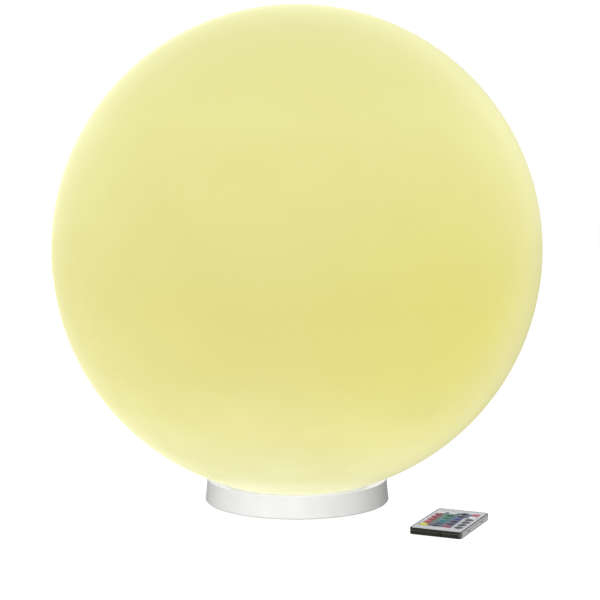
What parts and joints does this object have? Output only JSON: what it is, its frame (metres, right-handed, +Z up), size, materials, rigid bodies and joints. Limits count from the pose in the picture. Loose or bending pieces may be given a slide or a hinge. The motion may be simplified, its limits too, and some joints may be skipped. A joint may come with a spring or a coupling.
{
  "type": "garden globe light",
  "caption": "Large glowing moulded ball that twists onto a low round foot, lit from inside, with a flat hand remote for colour and brightness.",
  "frame": {"origin": "on the floor under the middle of the ball, at the centre of the bounding box's base", "axes": "+Z up along the ball's axis, -Y towards the viewer of the picture, +X to the right"},
  "size_m": [0.4999, 0.4998, 0.5093],
  "materials": {
    "globe_polyethylene": "translucent rotationally moulded polyethylene, satin, lit pale yellow from inside",
    "white_abs": "satin white moulded ABS",
    "cover_abs": "fine-textured white moulded ABS",
    "silicone": "soft translucent grey silicone",
    "foot_rubber": "matte dark rubber",
    "zinc_steel": "zinc-plated steel",
    "housing_abs": "plain moulded ABS",
    "aluminium": "plain milled aluminium",
    "board_white": "white solder mask",
    "led_package": "phosphor in a white package",
    "dark_epoxy": "dark infra-red-passing epoxy",
    "opal_polycarbonate": "frosted opal polycarbonate",
    "cell_sleeve": "sleeved lithium cell can",
    "black_abs": "plain black moulded ABS",
    "board_green": "green solder mask on glass-epoxy board",
    "components": "moulded electronic parts",
    "lead_pvc": "flexible PVC insulation",
    "switch_nickel": "nickel-plated brass",
    "button_abs": "moulded ABS button",
    "jack_black": "black moulded socket",
    "cap_silicone": "soft silicone cap",
    "guide_acrylic": "clear acrylic light guide",
    "remote_abs": "black moulded ABS",
    "overlay_film": "printed silver-grey polyester film",
    "dome_steel": "pressed stainless snap domes",
    "coin_steel": "plain steel can of a coin cell",
    "contact_brass": "sprung contact strip",
    "key_yellow": "glossy domed key",
    "key_navy": "glossy domed key",
    "key_magenta": "glossy domed key",
    "key_smooth": "glossy domed key",
    "key_orange": "glossy domed key",
    "key_steel_blue": "glossy domed key",
    "key_purple": "glossy domed key",
    "key_fade": "glossy domed key",
    "key_red_orange": "glossy domed key",
    "key_teal": "glossy domed key",
    "key_indigo": "glossy domed key",
    "key_strobe": "glossy domed key",
    "key_scarlet": "glossy domed key",
    "key_leaf_green": "glossy domed key",
    "key_violet": "glossy domed key",
    "key_flash": "glossy domed key",
    "key_red": "glossy domed key",
    "key_green": "glossy domed key",
    "key_blue": "glossy domed key",
    "key_white": "glossy domed key",
    "key_brighter": "glossy domed key",
    "key_dimmer": "glossy domed key",
    "key_off": "glossy domed key",
    "key_on": "glossy domed key"
  },
  "bodies": {
    "base": {"base_shell": "white_abs", "globe_gasket": "silicone", "bottom_cover": "cover_abs", "cover_seal": "silicone", "cover_screws": "zinc_steel", "rubber_feet": "foot_rubber", "engine_housing": "housing_abs", "housing_seal": "silicone", "inner_screws": "zinc_steel", "heat_spreader": "aluminium", "led_board": "board_white", "leds": "led_package", "ir_receiver": "dark_epoxy", "diffuser_dome": "opal_polycarbonate", "dome_seal": "silicone", "battery_cells": "cell_sleeve", "battery_cradle": "black_abs", "control_board": "board_green", "board_parts": "components", "leads": "lead_pvc", "power_switch": "switch_nickel", "charge_jack": "jack_black", "charge_light": "guide_acrylic"},
    "globe": {"globe": "globe_polyethylene"},
    "power_button": {"power_button": "button_abs"},
    "jack_cap": {"jack_cap": "cap_silicone"},
    "remote": {"remote_top_case": "remote_abs", "remote_bottom_case": "remote_abs", "remote_overlay": "overlay_film", "remote_circuit_board": "board_green", "snap_domes": "dome_steel", "ir_emitter": "dark_epoxy", "cell_contacts": "contact_brass"},
    "tray": {"battery_tray": "remote_abs", "coin_cell": "coin_steel"},
    "key_yellow": {"key_yellow": "key_yellow"},
    "key_navy": {"key_navy": "key_navy"},
    "key_magenta": {"key_magenta": "key_magenta"},
    "key_smooth": {"key_smooth": "key_smooth"},
    "key_orange": {"key_orange": "key_orange"},
    "key_steel_blue": {"key_steel_blue": "key_steel_blue"},
    "key_purple": {"key_purple": "key_purple"},
    "key_fade": {"key_fade": "key_fade"},
    "key_red_orange": {"key_red_orange": "key_red_orange"},
    "key_teal": {"key_teal": "key_teal"},
    "key_indigo": {"key_indigo": "key_indigo"},
    "key_strobe": {"key_strobe": "key_strobe"},
    "key_scarlet": {"key_scarlet": "key_scarlet"},
    "key_leaf_green": {"key_leaf_green": "key_leaf_green"},
    "key_violet": {"key_violet": "key_violet"},
    "key_flash": {"key_flash": "key_flash"},
    "key_red": {"key_red": "key_red"},
    "key_green": {"key_green": "key_green"},
    "key_blue": {"key_blue": "key_blue"},
    "key_white": {"key_white": "key_white"},
    "key_brighter": {"key_brighter": "key_brighter"},
    "key_dimmer": {"key_dimmer": "key_dimmer"},
    "key_off": {"key_off": "key_off"},
    "key_on": {"key_on": "key_on"}
  },
  "joints": [
    {"name": "globe_twist", "type": "hinge", "parent": "base", "child": "globe", "pos_m": [0, 0, 0.01], "axis": [0, 0, 1], "range_deg": [0, 22]},
    {"name": "power_press", "type": "slide", "parent": "base", "child": "power_button", "axis": [0, 0, 1], "range_m": [0, 0.0012], "stiffness_N_per_m": 1200},
    {"name": "jack_cap_pull", "type": "slide", "parent": "base", "child": "jack_cap", "axis": [0, 0, -1], "range_m": [0, 0.006]},
    {"name": "remote_slide", "type": "slide", "parent": "base", "child": "remote", "axis": [0.7742, -0.633, 0], "range_m": [0, 0.25]},
    {"name": "tray_slide", "type": "slide", "parent": "remote", "child": "tray", "axis": [-0.4147, -0.91, 0], "range_m": [0, 0.026]},
    {"name": "press_yellow", "type": "slide", "parent": "remote", "child": "key_yellow", "axis": [0, 0, -1], "range_m": [0, 0.0003], "stiffness_N_per_m": 1000},
    {"name": "press_navy", "type": "slide", "parent": "remote", "child": "key_navy", "axis": [0, 0, -1], "range_m": [0, 0.0003], "stiffness_N_per_m": 1000},
    {"name": "press_magenta", "type": "slide", "parent": "remote", "child": "key_magenta", "axis": [0, 0, -1], "range_m": [0, 0.0003], "stiffness_N_per_m": 1000},
    {"name": "press_smooth", "type": "slide", "parent": "remote", "child": "key_smooth", "axis": [0, 0, -1], "range_m": [0, 0.0003], "stiffness_N_per_m": 1000},
    {"name": "press_orange", "type": "slide", "parent": "remote", "child": "key_orange", "axis": [0, 0, -1], "range_m": [0, 0.0003], "stiffness_N_per_m": 1000},
    {"name": "press_steel_blue", "type": "slide", "parent": "remote", "child": "key_steel_blue", "axis": [0, 0, -1], "range_m": [0, 0.0003], "stiffness_N_per_m": 1000},
    {"name": "press_purple", "type": "slide", "parent": "remote", "child": "key_purple", "axis": [0, 0, -1], "range_m": [0, 0.0003], "stiffness_N_per_m": 1000},
    {"name": "press_fade", "type": "slide", "parent": "remote", "child": "key_fade", "axis": [0, 0, -1], "range_m": [0, 0.0003], "stiffness_N_per_m": 1000},
    {"name": "press_red_orange", "type": "slide", "parent": "remote", "child": "key_red_orange", "axis": [0, 0, -1], "range_m": [0, 0.0003], "stiffness_N_per_m": 1000},
    {"name": "press_teal", "type": "slide", "parent": "remote", "child": "key_teal", "axis": [0, 0, -1], "range_m": [0, 0.0003], "stiffness_N_per_m": 1000},
    {"name": "press_indigo", "type": "slide", "parent": "remote", "child": "key_indigo", "axis": [0, 0, -1], "range_m": [0, 0.0003], "stiffness_N_per_m": 1000},
    {"name": "press_strobe", "type": "slide", "parent": "remote", "child": "key_strobe", "axis": [0, 0, -1], "range_m": [0, 0.0003], "stiffness_N_per_m": 1000},
    {"name": "press_scarlet", "type": "slide", "parent": "remote", "child": "key_scarlet", "axis": [0, 0, -1], "range_m": [0, 0.0003], "stiffness_N_per_m": 1000},
    {"name": "press_leaf_green", "type": "slide", "parent": "remote", "child": "key_leaf_green", "axis": [0, 0, -1], "range_m": [0, 0.0003], "stiffness_N_per_m": 1000},
    {"name": "press_violet", "type": "slide", "parent": "remote", "child": "key_violet", "axis": [0, 0, -1], "range_m": [0, 0.0003], "stiffness_N_per_m": 1000},
    {"name": "press_flash", "type": "slide", "parent": "remote", "child": "key_flash", "axis": [0, 0, -1], "range_m": [0, 0.0003], "stiffness_N_per_m": 1000},
    {"name": "press_red", "type": "slide", "parent": "remote", "child": "key_red", "axis": [0, 0, -1], "range_m": [0, 0.0003], "stiffness_N_per_m": 1000},
    {"name": "press_green", "type": "slide", "parent": "remote", "child": "key_green", "axis": [0, 0, -1], "range_m": [0, 0.0003], "stiffness_N_per_m": 1000},
    {"name": "press_blue", "type": "slide", "parent": "remote", "child": "key_blue", "axis": [0, 0, -1], "range_m": [0, 0.0003], "stiffness_N_per_m": 1000},
    {"name": "press_white", "type": "slide", "parent": "remote", "child": "key_white", "axis": [0, 0, -1], "range_m": [0, 0.0003], "stiffness_N_per_m": 1000},
    {"name": "press_brighter", "type": "slide", "parent": "remote", "child": "key_brighter", "axis": [0, 0, -1], "range_m": [0, 0.0003], "stiffness_N_per_m": 1000},
    {"name": "press_dimmer", "type": "slide", "parent": "remote", "child": "key_dimmer", "axis": [0, 0, -1], "range_m": [0, 0.0003], "stiffness_N_per_m": 1000},
    {"name": "press_off", "type": "slide", "parent": "remote", "child": "key_off", "axis": [0, 0, -1], "range_m": [0, 0.0003], "stiffness_N_per_m": 1000},
    {"name": "press_on", "type": "slide", "parent": "remote", "child": "key_on", "axis": [0, 0, -1], "range_m": [0, 0.0003], "stiffness_N_per_m": 1000}
  ]
}
